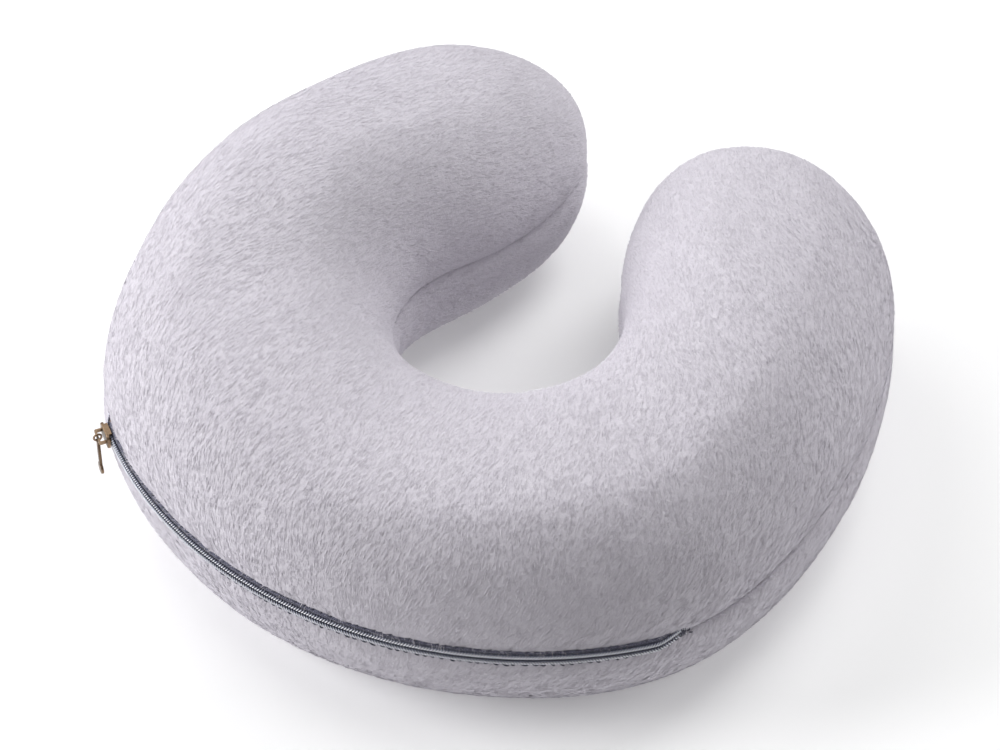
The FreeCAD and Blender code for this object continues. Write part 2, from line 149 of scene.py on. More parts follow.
class Nodes:
    """A short way to write a node material."""

    def __init__(self, name):
        self.material = bpy.data.materials.new(name)
        self.material.use_nodes = True
        self.tree = self.material.node_tree
        self.shader = self.tree.nodes["Principled BSDF"]

    def add(self, kind, inputs=None, **settings):
        node = self.tree.nodes.new(kind)
        for key, value in settings.items():
            setattr(node, key, value)
        for key, value in (inputs or {}).items():
            self.connect(node.inputs[key], value)
        return node

    def connect(self, socket, value):
        if isinstance(value, bpy.types.NodeSocket):
            self.tree.links.new(value, socket)
        else:
            socket.default_value = value

    def object_point(self):
        return self.add("ShaderNodeTexCoord").outputs["Object"]

    def noise(self, point, scale, detail=2.0, roughness=0.5, distortion=0.0):
        inputs = {"Vector": point, "Scale": scale, "Detail": detail,
                  "Roughness": roughness, "Distortion": distortion}
        return self.add("ShaderNodeTexNoise", inputs).outputs["Fac"]

    def ramp(self, factor, *stops):
        node = self.add("ShaderNodeValToRGB", {"Fac": factor})
        elements = node.color_ramp.elements
        while len(elements) < len(stops):
            elements.new(0.5)
        for element, (place, color) in zip(elements, stops):
            element.position = place
            element.color = tuple(color) + (1,)
        return node.outputs["Color"]

    def math(self, operation, first, second=0.0):
        return self.add("ShaderNodeMath", {0: first, 1: second}, operation=operation).outputs[0]

    def mix(self, factor, first, second, blend="MIX"):
        node = self.add("ShaderNodeMix", data_type="RGBA", blend_type=blend)
        self.connect(node.inputs[0], factor)
        for socket, value in ((node.inputs[6], first), (node.inputs[7], second)):
            if not isinstance(value, bpy.types.NodeSocket) and len(value) == 3:
                value = tuple(value) + (1,)
            self.connect(socket, value)
        return node.outputs[2]

    def bump(self, height, strength, distance, normal=None):
        inputs = {"Height": height, "Strength": strength, "Distance": distance}
        if normal is not None:
            inputs["Normal"] = normal
        return self.add("ShaderNodeBump", inputs).outputs["Normal"]

    def surface(self, **inputs):
        for key, value in inputs.items():
            self.connect(self.shader.inputs[key.replace("_", " ")], value)
        return self.material


PLUSH_LIGHT = (0.670, 0.646, 0.694)
PLUSH_MIDDLE = (0.605, 0.579, 0.632)
PLUSH_DARK = (0.525, 0.497, 0.558)


def plush_ground():
    """The woven ground of the velour with its dense short pile."""
    n = Nodes("plush")
    point = n.object_point()
    tufts = n.noise(point, 900, 3.0, 0.6, 0.4)
    clumps = n.noise(point, 260, 3.0, 0.55, 0.8)
    wear = n.noise(point, 24, 2.0, 0.5, 0.3)
    grain = n.mix(0.45, n.ramp(tufts, (0.3, PLUSH_DARK), (0.7, PLUSH_LIGHT)),
                  n.ramp(clumps, (0.3, PLUSH_DARK), (0.55, PLUSH_MIDDLE), (0.75, PLUSH_LIGHT)))
    color = n.mix(0.25, grain, n.ramp(wear, (0.35, PLUSH_MIDDLE), (0.65, PLUSH_LIGHT)))
    low = n.bump(clumps, 0.3, 0.5 * MM)
    fine = n.bump(tufts, 0.6, 0.35 * MM, low)
    rough = n.ramp(clumps, (0.2, (0.82,) * 3), (0.8, (0.95,) * 3))
    return n.surface(Base_Color=color, Roughness=rough, Normal=fine, Sheen_Weight=0.2,
                     Sheen_Roughness=0.45, Sheen_Tint=(0.93, 0.92, 1.0, 1.0),
                     Specular_IOR_Level=0.2)


def plush_pile():
    """The pile's combed fibres, lighter and darker by the tuft."""
    n = Nodes("plush_pile")
    point = n.object_point()
    tufts = n.noise(point, 1100, 2.0, 0.6)
    color = n.ramp(tufts, (0.25, PLUSH_DARK), (0.45, PLUSH_MIDDLE), (0.65, PLUSH_LIGHT))
    rough = n.ramp(tufts, (0.2, (0.7,) * 3), (0.8, (0.9,) * 3))
    return n.surface(Base_Color=color, Roughness=rough, Sheen_Weight=0.15,
                     Sheen_Roughness=0.4, Sheen_Tint=(0.93, 0.92, 1.0, 1.0),
                     Specular_IOR_Level=0.25)


def foam_material():
    n = Nodes("foam")
    point = n.object_point()
    cells = n.add("ShaderNodeTexVoronoi", {"Vector": point, "Scale": 700.0}).outputs["Distance"]
    lumps = n.noise(point, 60, 3.0)
    color = n.mix(0.5, n.ramp(cells, (0.1, (0.62, 0.60, 0.50)), (0.6, (0.90, 0.88, 0.80))),
                  n.ramp(lumps, (0.3, (0.84, 0.82, 0.72)), (0.7, (0.93, 0.91, 0.84))))
    return n.surface(Base_Color=color, Roughness=0.95, Normal=n.bump(cells, 0.5, 0.5 * MM))


def tape_material():
    """Woven zip tape: rows of dark dots on slate, laid out along the tape by its UV map."""
    n = Nodes("zip_tape")
    uv = n.add("ShaderNodeUVMap", uv_map="weave").outputs["UV"]
    split = n.add("ShaderNodeSeparateXYZ", {"Vector": uv})
    along = n.math("SINE", n.math("MULTIPLY", split.outputs["X"], 2 * math.pi / 0.95))
    across = n.math("SINE", n.math("MULTIPLY", split.outputs["Y"], 2 * math.pi / 0.9))
    weave = n.math("ADD", n.math("MULTIPLY", n.math("MULTIPLY", along, across), 0.5), 0.5)
    fuzz = n.noise(n.object_point(), 2500, 2.0)
    color = n.mix(n.math("MULTIPLY", fuzz, 0.3),
                  n.ramp(weave, (0.3, (0.020, 0.022, 0.045)), (0.75, (0.17, 0.17, 0.25))),
                  (0.30, 0.30, 0.38))
    return n.surface(Base_Color=color, Roughness=0.8, Normal=n.bump(weave, 0.8, 0.25 * MM),
                     Sheen_Weight=0.2, Sheen_Roughness=0.5)


def coil_material():
    """Slate monofilament with a painted highlight on the outside of its turns and painted shade on their
    backs, set by its UV map, plus random streaks.
    """
    n = Nodes("zip_coil")
    point = n.object_point()
    streaks = n.noise(point, 1500, 3.0, 0.6)
    uv = n.add("ShaderNodeUVMap", uv_map="turn").outputs["UV"]
    outside = n.add("ShaderNodeSeparateXYZ", {"Vector": uv}).outputs["Y"]
    # Painted light: the outside share lifts the colour to a near-white painted highlight and drops the back
    # of each turn to dark painted shade; the streaks add random tone.
    painted_light_and_streaks = n.math("ADD", outside, n.math("MULTIPLY", n.math("SUBTRACT", streaks, 0.5), 0.2))
    color = n.ramp(painted_light_and_streaks, (0.35, (0.045, 0.048, 0.085)), (0.72, (0.40, 0.42, 0.54)),
                   (0.97, (0.92, 0.93, 0.98)))
    rough = n.ramp(streaks, (0.2, (0.32,) * 3), (0.8, (0.5,) * 3))
    return n.surface(Base_Color=color, Roughness=rough, Specular_IOR_Level=0.55,
                     Normal=n.bump(streaks, 0.25, 0.1 * MM))


def thread_material():
    n = Nodes("zip_thread")
    point = n.object_point()
    twist = n.add("ShaderNodeTexWave", {"Vector": point, "Scale": 900.0, "Distortion": 3.0},
                  bands_direction="DIAGONAL").outputs["Fac"]
    color = n.ramp(twist, (0.2, (0.022, 0.023, 0.042)), (0.8, (0.09, 0.09, 0.14)))
    return n.surface(Base_Color=color, Roughness=0.75, Normal=n.bump(twist, 0.6, 0.12 * MM),
                     Sheen_Weight=0.2)


def brass_material():
    """Antiqued bronze: dark in its low spots and rubbed bright on the high ones."""
    n = Nodes("antique_brass")
    point = n.object_point()
    patches = n.noise(point, 450, 4.0, 0.6)
    scuffs = n.noise(point, 2200, 3.0, 0.6)
    rubbed = n.add("ShaderNodeNewGeometry").outputs["Pointiness"]
    high = n.ramp(rubbed, (0.49, (0.0,) * 3), (0.54, (1.0,) * 3))
    base = n.ramp(patches, (0.3, (0.060, 0.038, 0.024)), (0.7, (0.20, 0.135, 0.085)))
    color = n.mix(n.math("MULTIPLY", high, 0.6), base, (0.45, 0.32, 0.21))
    rough = n.ramp(scuffs, (0.3, (0.26,) * 3), (0.7, (0.48,) * 3))
    return n.surface(Base_Color=color, Metallic=1.0, Roughness=rough,
                     Normal=n.bump(scuffs, 0.2, 0.05 * MM))


def floor_material():
    n = Nodes("floor")
    grain = n.noise(n.object_point(), 3.0, 2.0)
    color = n.ramp(grain, (0.3, (0.90,) * 3), (0.7, (0.905, 0.905, 0.91)))
    return n.surface(Base_Color=color, Roughness=0.9, Specular_IOR_Level=0.1,
                     Emission_Color=(1.0, 1.0, 1.0, 1.0), Emission_Strength=0.18)


PLUSH = plush_ground()
PILE = plush_pile()
FOAM = foam_material()
TAPE = tape_material()
COIL = coil_material()
THREAD = thread_material()
BRASS = brass_material()


# ---------------------------------------------------------------- the cover's skin

def joined_mesh(name, nodes):
    joined = bmesh.new()
    for node in nodes:
        joined.from_mesh(frame["nodes"][node].data)
    mesh = bpy.data.meshes.new(name)
    joined.to_mesh(mesh)
    joined.free()
    return mesh


def outer_shell(mesh):
    """Keeps only the largest connected surface of a mesh."""
    shell = bmesh.new()
    shell.from_mesh(mesh)
    shell.verts.ensure_lookup_table()
    seen = set()
    islands = []
    for start in shell.verts:
        if start in seen:
            continue
        seen.add(start)
        island, stack = [], [start]
        while stack:
            vertex = stack.pop()
            island.append(vertex)
            for edge in vertex.link_edges:
                other = edge.other_vert(vertex)
                if other not in seen:
                    seen.add(other)
                    stack.append(other)
        islands.append(island)
    islands.sort(key=len, reverse=True)
    for island in islands[1:]:
        bmesh.ops.delete(shell, geom=island, context="VERTS")
    shell.to_mesh(mesh)
    shell.free()


def neighbour_mean(mesh, values, chosen, rounds):
    """Relaxes the chosen rows of values towards the mean of each vertex's neighbours."""
    edges = np.empty(len(mesh.edges) * 2, dtype=int)
    mesh.edges.foreach_get("vertices", edges)
    first, second = edges.reshape(-1, 2).T
    count = np.bincount(np.concatenate([first, second]), minlength=len(values))[:, None]
    for _ in range(rounds):
        total = np.zeros_like(values)
        np.add.at(total, first, values[second])
        np.add.at(total, second, values[first])
        values[chosen] = (total / np.maximum(count, 1))[chosen]
    return values


def fill_zip_groove(mesh):
    """Brings the skin back out over the zip's slot, level with the wall round it."""
    points = coordinates(mesh)
    angle, radius = polar(points)
    height = points[:, 2] - SEAM
    wall = BACK_RADIUS - 8.2 * height ** 2
    past = np.maximum(0, np.abs(angle) - math.radians(39)) * BACK_RADIUS
    wall -= 2.5 * past ** 2
    slot = (np.abs(height) < 9.5 * MM) & (radius < wall - 0.4 * MM) & (radius > wall - 16 * MM)
    slot &= np.abs(angle) < math.radians(47)
    scale = wall[slot] / radius[slot]
    points[slot, 0] = ZIP_CENTRE.x + (points[slot, 0] - ZIP_CENTRE.x) * scale
    points[slot, 1] = ZIP_CENTRE.y + (points[slot, 1] - ZIP_CENTRE.y) * scale
    points = neighbour_mean(mesh, points, slot, 12)
    set_coordinates(mesh, points)


def swell(piece):
    """Lets the cover's cloth swell under pressure between its seam and the base it rests on."""
    points = coordinates(piece.data)
    start = points - vertex_normals(piece.data) * START_INSET
    start[:, 2] = np.maximum(start[:, 2], 0.3 * MM)
    set_coordinates(piece.data, start)
    held = (np.abs(start[:, 2] - SEAM) < PIN_BAND) | (start[:, 2] < 2.2 * MM)
    group = piece.vertex_groups.new(name="sewn")
    group.add([int(i) for i in np.nonzero(held)[0]], 1.0, "REPLACE")
    cloth = piece.modifiers.new("cloth", "CLOTH")
    settings = cloth.settings
    settings.quality = 5
    settings.mass = CLOTH_MASS
    settings.tension_stiffness = CLOTH_STIFFNESS
    settings.compression_stiffness = CLOTH_STIFFNESS
    settings.shear_stiffness = 6
    settings.bending_stiffness = CLOTH_BENDING
    settings.use_pressure = True
    settings.uniform_pressure_force = CLOTH_PRESSURE
    settings.vertex_group_mass = "sewn"
    settings.effector_weights.gravity = 0
    cloth.collision_settings.use_collision = False
    cloth.point_cache.frame_start = 1
    cloth.point_cache.frame_end = CLOTH_FRAMES
    scene = bpy.context.scene
    for step in range(1, CLOTH_FRAMES + 1):
        scene.frame_set(step)
    swollen = evaluated_mesh(piece)
    moved = coordinates(swollen) - start
    length = np.linalg.norm(moved, axis=1, keepdims=True)
    end = start + moved * np.minimum(1, MOST_SWELL / np.maximum(length, 1e-9))
    scene.frame_set(1)
    piece.modifiers.clear()
    piece.vertex_groups.clear()
    end[:, 2] = np.maximum(end[:, 2], 0.3 * MM)
    set_coordinates(piece.data, end)


def cover_skin():
    """The whole closed skin of the cover: the CAD shapes remeshed, swollen and subdivided."""
    mesh = joined_mesh("skin", ["foam_core", "cover_upper_panel", "cover_lower_panel"])
    piece = bpy.data.objects.new("skin", mesh)
    bpy.context.scene.collection.objects.link(piece)
    remesh = piece.modifiers.new("remesh", "REMESH")
    remesh.mode = "VOXEL"
    remesh.voxel_size = VOXEL
    mesh = evaluated_mesh(piece)
    piece.modifiers.clear()
    piece.data = mesh
    outer_shell(mesh)
    fill_zip_groove(mesh)
    points = coordinates(mesh)
    set_coordinates(mesh, neighbour_mean(mesh, points.copy(), np.ones(len(points), bool), 2))
    swell(piece)
    finer = piece.modifiers.new("finer", "SUBSURF")
    finer.levels = 1
    finer.render_levels = 1
    mesh = evaluated_mesh(piece)
    bpy.data.objects.remove(piece)
    return mesh


def split_at_seam(mesh):
    """Cuts the skin along the seam's level, with finer faces beside the cut."""
    whole = bmesh.new()
    whole.from_mesh(mesh)
    near = [f for f in whole.faces if abs(f.calc_center_median().z - SEAM) < 7 * MM]
    edges = list({e for f in near for e in f.edges})
    bmesh.ops.subdivide_edges(whole, edges=edges, cuts=1, use_grid_fill=True)
    bmesh.ops.bisect_plane(
        whole, geom=whole.verts[:] + whole.edges[:] + whole.faces[:],
        plane_co=(0, 0, SEAM), plane_no=(0, 0, 1), dist=0.05 * MM)
    halves = []
    for side in (1, -1):
        half = whole.copy()
        other = [f for f in half.faces if (f.calc_center_median().z - SEAM) * side < 0]
        bmesh.ops.delete(half, geom=other, context="FACES")
        part = bpy.data.meshes.new("half")
        half.to_mesh(part)
        half.free()
        halves.append(part)
    whole.free()
    return halves


def opening_share(angle):
    """1 where the zip's chain lies open, falling to 0 past its ends."""
    left = smoothstep((angle - CHAIN_START) / OPEN_FADE)
    right = smoothstep((CHAIN_END - angle) / OPEN_FADE)
    return np.minimum(left, right)


def shape_half(mesh, side, skin_normals):
    """Sinks the seam, opens the zip and gives the fabric its soft unevenness."""
    points = coordinates(mesh)
    normals = skin_normals(points)
    angle, radius = polar(points)
    height = (points[:, 2] - SEAM) * side
    near_arc = (radius > BACK_RADIUS - 14 * MM) & (np.abs(angle) < math.radians(60))
    share = np.where(near_arc, opening_share(angle), 0.0)

    ripple = noise_at(points, 11 * MM, 1.0) * 0.35 * MM + noise_at(points, 5 * MM, 2.0) * 0.2 * MM
    jag = noise_at(points, 2.6 * MM, 3.0 + side) * 0.9 * MM + noise_at(points, 9 * MM, 5.0) * 0.5 * MM
    soft = noise_at(points, 42 * MM, 4.0) * 0.7 * MM

    beside = np.exp(-np.maximum(height, 0) / (3.2 * MM))
    beside_wide = np.exp(-np.maximum(height, 0) / (9 * MM))
    sink = (1.9 * MM * beside + 0.5 * MM * beside_wide) * (1 - share)
    sink += (EDGE_SINK * beside + 0.1 * MM * beside_wide) * share
    lift = soft * (1 - beside) + ripple * beside_wide
    flat = np.clip(points[:, 2] / (6 * MM), 0, 1)
    points += normals * ((lift - sink) * flat)[:, None]

    opening = (OPEN_ABOVE if side > 0 else OPEN_BELOW) + jag * np.exp(-height / (2 * MM))
    squeeze = np.clip(1 - height / OPEN_REACH, 0, 1)
    points[:, 2] += side * share * opening * squeeze
    points[:, 2] -= 0.7 * MM * np.clip(1 - points[:, 2] / (12 * MM), 0, 1)
    points[:, 2] = np.maximum(points[:, 2], 0.15 * MM)
    set_coordinates(mesh, points)


def fold_hem(mesh, skin_normals):
    """Turns the fabric's cut edge in, so that it shows its thickness."""
    half = bmesh.new()
    half.from_mesh(mesh)
    edges = [e for e in half.edges if e.is_boundary]
    for depth, inward in ((0.35 * MM, 0.25 * MM), (0.7 * MM, 0.1 * MM), (2.0 * MM, -0.9 * MM)):
        made = bmesh.ops.extrude_edge_only(half, edges=edges)["geom"]
        ring = [v for v in made if isinstance(v, bmesh.types.BMVert)]
        points = np.array([v.co for v in ring])
        away = -skin_normals(points)
        middle = np.sign(SEAM - points[:, 2])
        for vertex, direction, side in zip(ring, away, middle):
            vertex.co += Vector(direction) * depth + Vector((0, 0, side * inward))
        edges = [e for e in made if isinstance(e, bmesh.types.BMEdge) and e.is_boundary]
    bmesh.ops.recalc_face_normals(half, faces=half.faces[:])
    half.to_mesh(mesh)
    half.free()
    mesh.polygons.foreach_set("use_smooth", [True] * len(mesh.polygons))
    mesh.update()


def normal_lookup(mesh):
    """A function that gives the skin's normals at points near it."""
    points = coordinates(mesh)
    normals = vertex_normals(mesh)
    tree = KDTree(len(points))
    for index, point in enumerate(points):
        tree.insert(point, index)
    tree.balance()

    def lookup(places):
        found = []
        for place in places:
            total = np.zeros(3)
            for _, index, distance in tree.find_n(place, 4):
                total += normals[index] / (distance + 0.2 * MM)
            found.append(total)
        return unit(np.array(found))

    return lookup


# ---------------------------------------------------------------- the pile

UPPER_PILE_COUNT = 150000
LOWER_PILE_COUNT = 90000
FUZZ_COUNT = 8000
PILE_LENGTH = 3.2 * MM
PILE_WIDTH = 0.42 * MM
FUZZ_LENGTH = 2.1 * MM
FUZZ_WIDTH = 0.3 * MM
FIBRE_LIFT = 0.5 * MM


def nap_direction(points, normals, swirl_seed):
    """The way that the pile lies: mostly towards +Y, and inwards towards the hole."""
    inward = np.zeros_like(points)
    inward[:, 0] = HOLE_CENTRE.x - points[:, 0]
    inward[:, 1] = np.maximum(0, HOLE_CENTRE.y - points[:, 1])
    inward = unit(inward)
    along = np.stack([-inward[:, 1], inward[:, 0], np.zeros(len(points))], axis=1)
    across = np.cross(along, normals)
    bias = np.zeros_like(points)
    bias[:, 1] = 0.8
    inward_share = 0.5 + 0.25 * np.clip(points[:, :1] / (110 * MM), -1, 1)
    way = across * inward_share + bias
    way -= normals * np.sum(way * normals, axis=1, keepdims=True)
    way = unit(way)
    swirl = noise_at(points, 22 * MM, swirl_seed) * 0.35 + noise_at(points, 3 * MM, swirl_seed + 1) * 0.3
    side = np.cross(normals, way)
    return way * np.cos(swirl)[:, None] + side * np.sin(swirl)[:, None]


def scattered(mesh, count, random, keep=None):
    """Random points on a mesh's faces, spread evenly by area, with the faces' normals."""
    mesh.calc_loop_triangles()
    corners = np.empty(len(mesh.loop_triangles) * 3, dtype=int)
    mesh.loop_triangles.foreach_get("vertices", corners)
    corners = corners.reshape(-1, 3)
    points = coordinates(mesh)
    normals = vertex_normals(mesh)
    a, b, c = (points[corners[:, k]] for k in range(3))
    area = np.linalg.norm(np.cross(b - a, c - a), axis=1) * 0.5
    if keep is not None:
        area = area * keep((a + b + c) / 3)
    chosen = random.choice(len(area), count, p=area / area.sum())
    u, v = random.random(count), random.random(count)
    flip = u + v > 1
    u[flip], v[flip] = 1 - u[flip], 1 - v[flip]
    weights = np.stack([1 - u - v, u, v], axis=1)
    place = np.einsum("nk,nkd->nd", weights, points[corners[chosen]])
    normal = unit(np.einsum("nk,nkd->nd", weights, normals[corners[chosen]]))
    return place, normal


def blades(name, place, way, normal, random, length, width, lift):
    """Short tapered fibres, each one thin blade that lies along its direction."""
    count = len(place)
    long = length * random.uniform(0.6, 1.35, count)[:, None]
    wide = width * random.uniform(0.7, 1.3, count)[:, None]
    rise = lift * random.uniform(0.3, 1.5, count)[:, None]
    roll = random.uniform(-0.4, 0.4, count)[:, None]
    side = np.cross(way, normal)
    side = side * np.cos(roll) + normal * np.sin(roll)
    root = place - normal * (0.12 * MM)
    tip = root + way * long + normal * rise
    vertices = np.stack([root - side * wide / 2, root + side * wide / 2, tip], axis=1)
    mesh = bpy.data.meshes.new(name)
    mesh.vertices.add(count * 3)
    mesh.vertices.foreach_set("co", vertices.reshape(-1))
    mesh.loops.add(count * 3)
    mesh.loops.foreach_set("vertex_index", np.arange(count * 3))
    mesh.polygons.add(count)
    mesh.polygons.foreach_set("loop_start", np.arange(count) * 3)
    mesh.update(calc_edges=True)
    mesh.validate()
    return mesh


def pile(name, mesh, count, seed):
    random = np.random.default_rng(seed)

    def shown(centres):
        return np.where(centres[:, 2] > 1.5 * MM, 1.0, 0.0)

    place, normal = scattered(mesh, count, random, shown)
    way = nap_direction(place, normal, 10.0)
    fibres = blades(name, place, way, normal, random, PILE_LENGTH, PILE_WIDTH, FIBRE_LIFT)
    return new_object(name, fibres, PILE)


# ---------------------------------------------------------------- the zip

def chain_radius(angle):
    """How far the chain's face is from the zip's centre: level, then into the seam past the ends."""
    left = smoothstep((CHAIN_START + DIVE_ANGLE - angle) / DIVE_ANGLE)
    right = smoothstep((angle - CHAIN_END + DIVE_ANGLE) / DIVE_ANGLE)
    past = np.maximum(0, np.abs(angle) - math.radians(41)) * BACK_RADIUS
    return TAPE_FACE - (left + right) * DIVE_DEPTH - 2.5 * past ** 2


def on_arc(angle, radius, height):
    x = ZIP_CENTRE.x + np.sin(angle) * radius
    y = ZIP_CENTRE.y - np.cos(angle) * radius
    return np.stack([x, y, SEAM + height + np.zeros_like(x)], axis=-1)


def tube(points, radii, sides, normals_hint):
    """A tube's vertices and faces round a line of points."""
    tangent = unit(np.gradient(points, axis=0))
    first = unit(np.cross(tangent, normals_hint))
    second = np.cross(tangent, first)
    turn = np.arange(sides) * 2 * math.pi / sides
    ring = (first[:, None] * np.cos(turn)[None, :, None]
            + second[:, None] * np.sin(turn)[None, :, None])
    vertices = (points[:, None] + ring * radii[:, None, None]).reshape(-1, 3)
    faces = []
    for i in range(len(points) - 1):
        for k in range(sides):
            l = (k + 1) % sides
            faces.append((i * sides + k, i * sides + l, (i + 1) * sides + l, (i + 1) * sides + k))
    faces.append(tuple(range(sides))[::-1])
    last = (len(points) - 1) * sides
    faces.append(tuple(last + k for k in range(sides)))
    return vertices, faces


def loop_vertices(mesh):
    corners = np.empty(len(mesh.loops), dtype=int)
    mesh.loops.foreach_get("vertex_index", corners)
    return corners


def paint(mesh, name, along, across):
    """A UV map from two values for each corner of the mesh's faces."""
    layer = mesh.uv_layers.new(name=name)
    layer.data.foreach_set("uv", np.stack([along, across], axis=1).reshape(-1))


COIL_PITCH = 1.12 * MM
COIL_HALF_WIDTH = 0.80 * MM
COIL_HALF_RISE = 0.50 * MM
COIL_WIRE = 0.25 * MM
COIL_MIDDLE = 1.45 * MM


def coil_row(name, side):
    """One row of the coil: a flattened helix of monofilament that leans round its filler cord."""
    length = (CHAIN_END - CHAIN_START) * BACK_RADIUS
    turns = int(length / COIL_PITCH)
    steps = turns * 9
    t = np.linspace(0, 1, steps)
    turn = t * turns * 2 * math.pi
    lean = 0.34 * COIL_PITCH * np.sin(turn) / BACK_RADIUS
    angle = CHAIN_START + t * (CHAIN_END - CHAIN_START) + lean
    middle = chain_radius(angle) + 0.74 * MM
    radius = middle + COIL_HALF_RISE * np.cos(turn)
    height = side * (COIL_MIDDLE + COIL_HALF_WIDTH * np.sin(turn))
    points = on_arc(angle, radius, height)
    outward = unit(on_arc(angle, radius + 1, height) - points)
    vertices, faces = tube(points, np.full(steps, COIL_WIRE), 5, outward + 0.01)
    mesh = mesh_from(name, vertices, faces)
    ring = loop_vertices(mesh) // 5
    # The second UV value is 1 on the outside of each turn and 0 on its back; the coil's material paints its
    # highlight and shade from it.
    paint(mesh, "turn", turn[ring] / (2 * math.pi), 0.5 + 0.5 * np.cos(turn)[ring])
    return new_object(name, mesh, COIL)


def filler_cord(name, side):
    """The twisted cord that lies inside a row of coil."""
    steps = 560
    angle = np.linspace(CHAIN_START, CHAIN_END, steps)
    points = on_arc(angle, chain_radius(angle) + 0.74 * MM, np.full(steps, side * COIL_MIDDLE))
    bulge = 0.24 * MM + 0.04 * MM * np.sin(np.arange(steps) * 1.9)
    vertices, faces = tube(points, bulge, 6, np.array([[0.0, 0.0, 1.0]]))
    return new_object(name, mesh_from(name, vertices, faces), THREAD)


def tape(name, side):
    """A woven tape with its ribbed edge, stepping in behind the fabric."""
    steps = 300
    angle = np.linspace(CHAIN_START, CHAIN_END, steps)
    section = [(0.5, 0.0), (1.2, 0.06), (2.0, 0.0), (2.6, 0.06), (3.0, -0.1), (3.5, -0.8),
               (4.2, -1.7), (6.0, -2.1), (8.2, -2.4)]
    heights = [h for h, _ in section]
    depths = [d for _, d in section]
    profile = [(h, d) for h, d in zip(heights, depths)]
    profile += [(h, d - 0.5) for h, d in zip(heights[::-1], depths[::-1])]
    rings = [on_arc(angle, chain_radius(angle) + d * MM, np.full(steps, side * h * MM))
             for h, d in profile]
    count = len(profile)
    vertices = np.stack(rings, axis=1).reshape(-1, 3)
    faces = []
    for i in range(steps - 1):
        for k in range(count):
            l = (k + 1) % count
            quad = (i * count + k, (i + 1) * count + k, (i + 1) * count + l, i * count + l)
            faces.append(quad if side > 0 else quad[::-1])
    faces.append(tuple(range(count)))
    faces.append(tuple((steps - 1) * count + k for k in range(count)))
    mesh = mesh_from(name, vertices, faces)
    corner = loop_vertices(mesh)
    along = (corner // count) * (CHAIN_END - CHAIN_START) * BACK_RADIUS / MM / (steps - 1)
    across = np.array([h for h, _ in profile])[corner % count]
    paint(mesh, "weave", along, across)
    return new_object(name, mesh, TAPE)


def thread_loop(start, end, outward, rise, radius, sides=6, steps=7):
    """A short arched bar of thread from start to end."""
    t = np.linspace(0, 1, steps)[:, None]
    arch = np.sin(t * math.pi)
    points = start * (1 - t) + end * t + outward * (arch * rise - 0.25 * MM)
    radii = radius * (0.55 + 0.45 * np.sin(np.linspace(0.12, math.pi - 0.12, steps)))
    return tube(points, radii, sides, outward[None, :] + 0.01)


def collect(pieces):
    vertices, faces, base = [], [], 0
    for part_vertices, part_faces in pieces:
        vertices.append(part_vertices)
        faces += [tuple(i + base for i in face) for face in part_faces]
        base += len(part_vertices)
    return np.concatenate(vertices), faces


def stitches(name, side, skin, seed):
    """The sewing that holds the fabric's edge to the tape: short bites sunk into the pile."""
    random = np.random.default_rng(seed)
    pitch = 3.4 * MM / BACK_RADIUS
    angle = CHAIN_START + 0.02
    parts = []
    opening = OPEN_ABOVE if side > 0 else OPEN_BELOW
    while angle < CHAIN_END + 0.012:
        share = float(opening_share(np.array([angle]))[0])
        height = side * (opening * share + 0.2 * MM + random.uniform(0, 0.5) * MM)
        long = random.uniform(1.3, 2.5) * MM / BACK_RADIUS
        tilt = side * random.uniform(0.1, 0.9) * MM
        start, end = on_arc(np.array([angle, angle + long]), BACK_RADIUS, np.array([height, height + tilt]))
        start, outward = skin(start, share)
        end, _ = skin(end, share)
        parts.append(thread_loop(start, end, outward, 0.4 * MM, 0.30 * MM))
        angle += pitch * random.uniform(0.8, 1.25)
    vertices, faces = collect(parts)
    return new_object(name, mesh_from(name, vertices, faces), THREAD)


def tacks(name, angle):
    """The thread bars across the chain's end, where it goes into the seam."""
    parts = []
    for index in range(3):
        place = angle - math.copysign(index * 0.75 * MM / BACK_RADIUS, angle)
        at = np.full(2, place)
        radius = chain_radius(at) + 1.45 * MM
        start, end = on_arc(at, radius, np.array([-2.4 * MM, 2.4 * MM]))
        outward = unit(start - np.array([ZIP_CENTRE.x, ZIP_CENTRE.y, start[2]]))
        parts.append(thread_loop(start, end, outward, 0.3 * MM, 0.3 * MM))
    vertices, faces = collect(parts)
    return new_object(name, mesh_from(name, vertices, faces), THREAD)


def edge_fuzz(name, meshes, seed):
    """Loose pile fibres that stand out of the fabric's edges along the zip and the seam."""
    random = np.random.default_rng(seed)
    made = []
    for mesh, side in meshes:
        opening = OPEN_ABOVE if side > 0 else OPEN_BELOW

        def beside(centres, side=side, opening=opening):
            angle, radius = polar(centres)
            share = np.where(radius > BACK_RADIUS - 12 * MM, opening_share(angle), 0.0)
            height = (centres[:, 2] - SEAM) * side - share * opening
            return np.where(np.abs(height) < 1.3 * MM, 0.25 + share, 0.0)

        place, normal = scattered(mesh, FUZZ_COUNT, random, beside)
        way = nap_direction(place, normal, 20.0)
        drop = np.zeros_like(place)
        drop[:, 2] = -side * random.uniform(0.2, 1.4, len(place))
        way = unit(way * random.uniform(-0.6, 1.0, (len(place), 1)) + drop + normal * 0.25)
        made.append((place, way, normal))
    place, way, normal = (np.concatenate(rows) for rows in zip(*made))
    fibres = blades(name, place, way, normal, random, FUZZ_LENGTH, FUZZ_WIDTH, FIBRE_LIFT)
    return new_object(name, fibres, PILE)


# ---------------------------------------------------------------- building the pieces

def build_cover():
    skin = cover_skin()
    normals = normal_lookup(skin)
    upper, lower = split_at_seam(skin)
    for mesh, side, name, node, seed in (
        (upper, 1, "cover_upper", "cover_upper_panel", 11),
        (lower, -1, "cover_lower", "cover_lower_panel", 12),
    ):
        shape_half(mesh, side, normals)
        fold_hem(mesh, normals)
        piece = new_object(name, mesh, PLUSH)
        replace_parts(piece, node)
        pile(name + "_pile", mesh, UPPER_PILE_COUNT if side > 0 else LOWER_PILE_COUNT, seed)
    edge_fuzz("zip_edge_fuzz", ((upper, 1), (lower, -1)), 13)
    return skin


